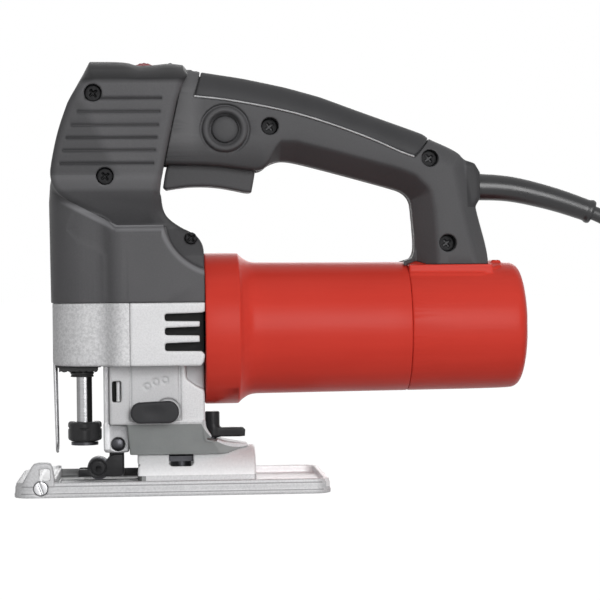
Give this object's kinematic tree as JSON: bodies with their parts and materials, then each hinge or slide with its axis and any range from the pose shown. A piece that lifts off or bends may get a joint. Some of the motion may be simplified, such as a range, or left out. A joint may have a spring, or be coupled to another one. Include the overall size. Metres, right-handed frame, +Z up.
{
  "type": "jigsaw",
  "caption": "Corded top-handle jigsaw: tilting sole plate on a half-round saddle, round motor housing, cast gearbox, sprung blade clamp, orbital lever, trigger, lock button and speed dial.",
  "frame": {"origin": "on the underside of the sole plate, in the plane of the blade, within 3 mm of the middle of the tool's length; the tool stands on it", "axes": "+Z up, square to the sole; -X towards the blade end, +X towards the cord; Y across, the lock button and orbital lever on the -Y side"},
  "size_m": [0.4246, 0.109, 0.2056],
  "materials": {
    "head_plastic": "fine moulded texture",
    "handle_plastic": "fine moulded texture",
    "soft_grip": "soft satin",
    "black_screws": "blackened",
    "red_plastic": "satin gloss",
    "dial_plastic": "satin gloss",
    "cast_alloy": "sand-blasted casting",
    "zinc_steel": "zinc plated",
    "black_steel": "blackened",
    "clamp_sleeve": "moulded",
    "seal_rubber": "matt",
    "hard_steel": "ground",
    "bronze": "sintered",
    "sole_alloy": "pressed and tumbled",
    "black_plastic": "fine texture",
    "circuit": "lacquered board",
    "spring_steel": "drawn wire",
    "stack_steel": "lacquered laminations",
    "copper": "turned copper",
    "carbon": "pressed carbon",
    "cord_rubber": "matt",
    "tie_plastic": "moulded strap"
  },
  "bodies": {
    "housing": {"left_head_shell": "head_plastic", "right_head_shell": "head_plastic", "left_handle_shell": "handle_plastic", "right_handle_shell": "handle_plastic", "grip_pad": "soft_grip", "housing_screws": "black_screws", "motor_tube": "red_plastic", "motor_end_cap": "red_plastic", "end_cap_screws": "black_screws", "gear_case": "cast_alloy", "nose_cover": "cast_alloy", "gear_case_screws": "zinc_steel", "plunger_seal": "seal_rubber", "finger_guard": "zinc_steel", "guide_bracket": "zinc_steel", "roller_lever_pin": "black_steel", "upper_bush": "bronze", "lower_bush": "bronze", "bevel_bolt": "black_steel", "bevel_washer": "zinc_steel", "bevel_stud": "black_steel", "trigger_spring": "spring_steel", "switch_body": "black_plastic", "speed_module": "circuit", "field_stator": "stack_steel", "front_bearing": "hard_steel", "rear_bearing": "hard_steel", "brush_holders": "bronze", "carbon_brushes": "carbon", "brush_springs": "spring_steel", "gear_axle": "hard_steel", "cord_sleeve": "cord_rubber", "cord_clamp": "black_plastic", "cord": "cord_rubber", "cord_coil": "cord_rubber", "cord_tie": "tie_plastic", "plug": "cord_rubber", "plug_pins": "hard_steel"},
    "sole": {"base_plate": "sole_alloy", "guide_clamp_screw": "black_screws"},
    "plunger": {"plunger": "hard_steel", "blade_clamp_core": "black_steel"},
    "clamp_sleeve": {"blade_clamp_sleeve": "clamp_sleeve"},
    "guide_lever": {"roller_lever": "black_steel", "roller_axle": "zinc_steel"},
    "roller": {"support_roller": "hard_steel"},
    "orbital_lever": {"orbital_lever": "black_plastic", "orbital_shaft": "hard_steel"},
    "bevel_lever": {"bevel_lever": "black_plastic"},
    "trigger": {"trigger": "black_plastic"},
    "lock_button": {"lock_button": "black_plastic"},
    "speed_dial": {"speed_dial": "dial_plastic"},
    "armature": {"armature_shaft": "hard_steel", "armature_core": "stack_steel", "commutator": "copper", "fan": "black_plastic"},
    "crank_gear": {"crank_gear": "hard_steel", "crank_pin": "hard_steel"}
  },
  "joints": [
    {"name": "bevel_tilt", "type": "hinge", "parent": "housing", "child": "sole", "pos_m": [-0.036, 0, 0.002], "axis": [1, 0, 0], "range_deg": [-45, 45]},
    {"name": "plunger_stroke", "type": "slide", "parent": "housing", "child": "plunger", "axis": [0, 0, 1], "range_m": [0, 0.02]},
    {"name": "clamp_turn", "type": "hinge", "parent": "plunger", "child": "clamp_sleeve", "pos_m": [-0.0893, 0, 0.028], "axis": [0, 0, 1], "range_deg": [0, 60], "stiffness_Nm_per_rad": 0.05},
    {"name": "guide_swing", "type": "hinge", "parent": "housing", "child": "guide_lever", "pos_m": [-0.0732, 0, 0.0222], "axis": [0, 1, 0], "range_deg": [0, 3]},
    {"name": "roller_spin", "type": "hinge", "parent": "guide_lever", "child": "roller", "pos_m": [-0.0827, 0, 0.0105], "axis": [0, 1, 0], "continuous": true},
    {"name": "orbital_turn", "type": "hinge", "parent": "housing", "child": "orbital_lever", "pos_m": [-0.0493, -0.023, 0.0383], "axis": [0, 1, 0], "range_deg": [0, 85]},
    {"name": "bevel_lever_turn", "type": "hinge", "parent": "housing", "child": "bevel_lever", "pos_m": [-0.0278, 0, 0.031], "axis": [0, 0, 1], "range_deg": [-90, 0]},
    {"name": "trigger_slide", "type": "slide", "parent": "housing", "child": "trigger", "axis": [0, 0, 1], "range_m": [0, 0.006], "stiffness_N_per_m": 900, "springref_m": -0.002, "deforming": ["trigger_spring"]},
    {"name": "lock_press", "type": "slide", "parent": "housing", "child": "lock_button", "axis": [0, 1, 0], "range_m": [0, 0.003], "stiffness_N_per_m": 900, "springref_m": -0.001},
    {"name": "dial_turn", "type": "hinge", "parent": "housing", "child": "speed_dial", "pos_m": [-0.0589, 0, 0.1969], "axis": [0, 1, 0], "range_deg": [-135, 135]},
    {"name": "crank_spin", "type": "hinge", "parent": "housing", "child": "crank_gear", "pos_m": [-0.058, 0, 0.0994], "axis": [1, 0, 0], "continuous": true},
    {"name": "armature_spin", "type": "hinge", "parent": "housing", "child": "armature", "pos_m": [0.02, 0, 0.077], "axis": [1, 0, 0], "continuous": true}
  ],
  "couplings": [
    {"joint": "crank_spin", "follows": "armature_spin", "ratio": -0.21739}
  ]
}
